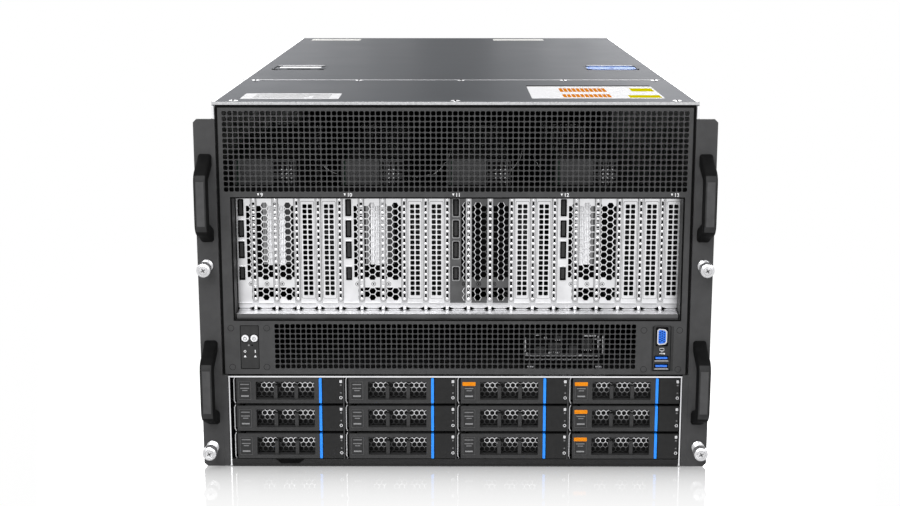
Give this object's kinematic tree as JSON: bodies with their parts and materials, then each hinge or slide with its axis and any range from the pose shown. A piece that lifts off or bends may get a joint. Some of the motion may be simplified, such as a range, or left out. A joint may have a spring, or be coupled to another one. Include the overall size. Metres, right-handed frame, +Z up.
{
  "type": "gpu server",
  "caption": "Tall rack-mount graphics server with rack ears and handles, a perforated front panel over an expansion slot row, hot-swap drive trays, rear fans and power supplies.",
  "frame": {"origin": "centre of the chassis underside, on the plane it rests on", "axes": "+Z up, +Y from the front panel to the rear, +X to the right as seen from the front"},
  "size_m": [0.4826, 0.9125, 0.351],
  "materials": {
    "steel": "bare galvanised sheet",
    "bright_steel": "bright nickel-plated sheet",
    "black_paint": "matt black powder coat",
    "nickel": "satin nickel plate",
    "card_shroud": "grey moulded shroud",
    "board": "green solder mask",
    "heat_sink": "plain extruded",
    "memory": "dark board with chips",
    "black_plastic": "matt moulded",
    "pale_plastic": "light grey moulded",
    "blue_plastic": "light blue moulded",
    "white_plastic": "glossy cap",
    "psu_case": "bare case",
    "tray_plastic": "dark grey moulded frame with a blue grip edge"
  },
  "bodies": {
    "chassis": {"chassis_shell": "steel", "lower_shelf": "steel", "gpu_shelf": "steel", "rear_panel": "steel", "front_cover": "steel", "front_panel": "black_paint", "front_grilles": "black_paint", "slot_frame": "bright_steel", "slot_ledge": "bright_steel", "slot_covers": "bright_steel", "gpu_brackets": "bright_steel", "gpu_cards": "card_shroud", "circuit_boards": "board", "drive_cage": "steel", "motherboard": "board", "cpu_heatsinks": "heat_sink", "memory_modules": "memory", "rack_ears": "black_paint", "rack_handles": "black_paint", "thumb_screws": "nickel", "front_io_modules": "black_plastic", "front_ports": "nickel", "fan_frames": "black_plastic"},
    "rear_cover": {"rear_cover": "steel"},
    "cover_latch_left": {"cover_latch_left": "pale_plastic"},
    "cover_latch_right": {"cover_latch_right": "blue_plastic"},
    "power_button": {"power_button": "white_plastic"},
    "uid_button": {"uid_button": "white_plastic"},
    "fan_rotor_1": {"fan_rotor_1": "black_plastic"},
    "fan_rotor_2": {"fan_rotor_2": "black_plastic"},
    "fan_rotor_3": {"fan_rotor_3": "black_plastic"},
    "fan_rotor_4": {"fan_rotor_4": "black_plastic"},
    "psu_1": {"psu_1": "psu_case"},
    "psu_2": {"psu_2": "psu_case"},
    "psu_3": {"psu_3": "psu_case"},
    "psu_4": {"psu_4": "psu_case"},
    "drive_tray_01": {"drive_tray_01": "tray_plastic"},
    "drive_tray_02": {"drive_tray_02": "tray_plastic"},
    "drive_tray_03": {"drive_tray_03": "tray_plastic"},
    "drive_tray_04": {"drive_tray_04": "tray_plastic"},
    "drive_tray_05": {"drive_tray_05": "tray_plastic"},
    "drive_tray_06": {"drive_tray_06": "tray_plastic"},
    "drive_tray_07": {"drive_tray_07": "tray_plastic"},
    "drive_tray_08": {"drive_tray_08": "tray_plastic"},
    "drive_tray_09": {"drive_tray_09": "tray_plastic"},
    "drive_tray_10": {"drive_tray_10": "tray_plastic"},
    "drive_tray_11": {"drive_tray_11": "tray_plastic"},
    "drive_tray_12": {"drive_tray_12": "tray_plastic"},
    "tray_lever_01": {"tray_lever_01": "tray_plastic"},
    "tray_lever_02": {"tray_lever_02": "tray_plastic"},
    "tray_lever_03": {"tray_lever_03": "tray_plastic"},
    "tray_lever_04": {"tray_lever_04": "tray_plastic"},
    "tray_lever_05": {"tray_lever_05": "tray_plastic"},
    "tray_lever_06": {"tray_lever_06": "tray_plastic"},
    "tray_lever_07": {"tray_lever_07": "tray_plastic"},
    "tray_lever_08": {"tray_lever_08": "tray_plastic"},
    "tray_lever_09": {"tray_lever_09": "tray_plastic"},
    "tray_lever_10": {"tray_lever_10": "tray_plastic"},
    "tray_lever_11": {"tray_lever_11": "tray_plastic"},
    "tray_lever_12": {"tray_lever_12": "tray_plastic"}
  },
  "joints": [
    {"name": "drive_tray_01_slide", "type": "slide", "parent": "chassis", "child": "drive_tray_01", "axis": [0, -1, 0], "range_m": [0, 0.15]},
    {"name": "tray_lever_01_hinge", "type": "hinge", "parent": "drive_tray_01", "child": "tray_lever_01", "pos_m": [-0.2049, -0.4215, 0.07525], "axis": [0, 0, -1], "range_deg": [0, 50]},
    {"name": "drive_tray_02_slide", "type": "slide", "parent": "chassis", "child": "drive_tray_02", "axis": [0, -1, 0], "range_m": [0, 0.15]},
    {"name": "tray_lever_02_hinge", "type": "hinge", "parent": "drive_tray_02", "child": "tray_lever_02", "pos_m": [-0.098, -0.4215, 0.07525], "axis": [0, 0, -1], "range_deg": [0, 50]},
    {"name": "drive_tray_03_slide", "type": "slide", "parent": "chassis", "child": "drive_tray_03", "axis": [0, -1, 0], "range_m": [0, 0.15]},
    {"name": "tray_lever_03_hinge", "type": "hinge", "parent": "drive_tray_03", "child": "tray_lever_03", "pos_m": [0.0089, -0.4215, 0.07525], "axis": [0, 0, -1], "range_deg": [0, 50]},
    {"name": "drive_tray_04_slide", "type": "slide", "parent": "chassis", "child": "drive_tray_04", "axis": [0, -1, 0], "range_m": [0, 0.15]},
    {"name": "tray_lever_04_hinge", "type": "hinge", "parent": "drive_tray_04", "child": "tray_lever_04", "pos_m": [0.1158, -0.4215, 0.07525], "axis": [0, 0, -1], "range_deg": [0, 50]},
    {"name": "drive_tray_05_slide", "type": "slide", "parent": "chassis", "child": "drive_tray_05", "axis": [0, -1, 0], "range_m": [0, 0.15]},
    {"name": "tray_lever_05_hinge", "type": "hinge", "parent": "drive_tray_05", "child": "tray_lever_05", "pos_m": [-0.2049, -0.4215, 0.04765], "axis": [0, 0, -1], "range_deg": [0, 50]},
    {"name": "drive_tray_06_slide", "type": "slide", "parent": "chassis", "child": "drive_tray_06", "axis": [0, -1, 0], "range_m": [0, 0.15]},
    {"name": "tray_lever_06_hinge", "type": "hinge", "parent": "drive_tray_06", "child": "tray_lever_06", "pos_m": [-0.098, -0.4215, 0.04765], "axis": [0, 0, -1], "range_deg": [0, 50]},
    {"name": "drive_tray_07_slide", "type": "slide", "parent": "chassis", "child": "drive_tray_07", "axis": [0, -1, 0], "range_m": [0, 0.15]},
    {"name": "tray_lever_07_hinge", "type": "hinge", "parent": "drive_tray_07", "child": "tray_lever_07", "pos_m": [0.0089, -0.4215, 0.04765], "axis": [0, 0, -1], "range_deg": [0, 50]},
    {"name": "drive_tray_08_slide", "type": "slide", "parent": "chassis", "child": "drive_tray_08", "axis": [0, -1, 0], "range_m": [0, 0.15]},
    {"name": "tray_lever_08_hinge", "type": "hinge", "parent": "drive_tray_08", "child": "tray_lever_08", "pos_m": [0.1158, -0.4215, 0.04765], "axis": [0, 0, -1], "range_deg": [0, 50]},
    {"name": "drive_tray_09_slide", "type": "slide", "parent": "chassis", "child": "drive_tray_09", "axis": [0, -1, 0], "range_m": [0, 0.15]},
    {"name": "tray_lever_09_hinge", "type": "hinge", "parent": "drive_tray_09", "child": "tray_lever_09", "pos_m": [-0.2049, -0.4215, 0.02005], "axis": [0, 0, -1], "range_deg": [0, 50]},
    {"name": "drive_tray_10_slide", "type": "slide", "parent": "chassis", "child": "drive_tray_10", "axis": [0, -1, 0], "range_m": [0, 0.15]},
    {"name": "tray_lever_10_hinge", "type": "hinge", "parent": "drive_tray_10", "child": "tray_lever_10", "pos_m": [-0.098, -0.4215, 0.02005], "axis": [0, 0, -1], "range_deg": [0, 50]},
    {"name": "drive_tray_11_slide", "type": "slide", "parent": "chassis", "child": "drive_tray_11", "axis": [0, -1, 0], "range_m": [0, 0.15]},
    {"name": "tray_lever_11_hinge", "type": "hinge", "parent": "drive_tray_11", "child": "tray_lever_11", "pos_m": [0.0089, -0.4215, 0.02005], "axis": [0, 0, -1], "range_deg": [0, 50]},
    {"name": "drive_tray_12_slide", "type": "slide", "parent": "chassis", "child": "drive_tray_12", "axis": [0, -1, 0], "range_m": [0, 0.15]},
    {"name": "tray_lever_12_hinge", "type": "hinge", "parent": "drive_tray_12", "child": "tray_lever_12", "pos_m": [0.1158, -0.4215, 0.02005], "axis": [0, 0, -1], "range_deg": [0, 50]},
    {"name": "rear_cover_slide", "type": "slide", "parent": "chassis", "child": "rear_cover", "axis": [0, 1, 0], "range_m": [0, 0.02]},
    {"name": "cover_latch_left_hinge", "type": "hinge", "parent": "rear_cover", "child": "cover_latch_left", "pos_m": [-0.178, -0.051, 0.3486], "axis": [-1, 0, 0], "range_deg": [0, 70]},
    {"name": "cover_latch_right_hinge", "type": "hinge", "parent": "rear_cover", "child": "cover_latch_right", "pos_m": [0.178, -0.051, 0.3486], "axis": [-1, 0, 0], "range_deg": [0, 70]},
    {"name": "power_press", "type": "slide", "parent": "chassis", "child": "power_button", "axis": [0, 1, 0], "range_m": [0, 0.0015], "stiffness_N_per_m": 400, "springref_m": -0.001},
    {"name": "uid_press", "type": "slide", "parent": "chassis", "child": "uid_button", "axis": [0, 1, 0], "range_m": [0, 0.0015], "stiffness_N_per_m": 400, "springref_m": -0.001},
    {"name": "fan_rotor_1_spin", "type": "hinge", "parent": "chassis", "child": "fan_rotor_1", "pos_m": [-0.1575, 0.406, 0.196], "axis": [0, 1, 0], "continuous": true},
    {"name": "fan_rotor_2_spin", "type": "hinge", "parent": "chassis", "child": "fan_rotor_2", "pos_m": [-0.0525, 0.406, 0.196], "axis": [0, 1, 0], "continuous": true},
    {"name": "fan_rotor_3_spin", "type": "hinge", "parent": "chassis", "child": "fan_rotor_3", "pos_m": [0.0525, 0.406, 0.196], "axis": [0, 1, 0], "continuous": true},
    {"name": "fan_rotor_4_spin", "type": "hinge", "parent": "chassis", "child": "fan_rotor_4", "pos_m": [0.1575, 0.406, 0.196], "axis": [0, 1, 0], "continuous": true},
    {"name": "psu_1_slide", "type": "slide", "parent": "chassis", "child": "psu_1", "axis": [0, 1, 0], "range_m": [0, 0.16]},
    {"name": "psu_2_slide", "type": "slide", "parent": "chassis", "child": "psu_2", "axis": [0, 1, 0], "range_m": [0, 0.16]},
    {"name": "psu_3_slide", "type": "slide", "parent": "chassis", "child": "psu_3", "axis": [0, 1, 0], "range_m": [0, 0.16]},
    {"name": "psu_4_slide", "type": "slide", "parent": "chassis", "child": "psu_4", "axis": [0, 1, 0], "range_m": [0, 0.16]}
  ]
}
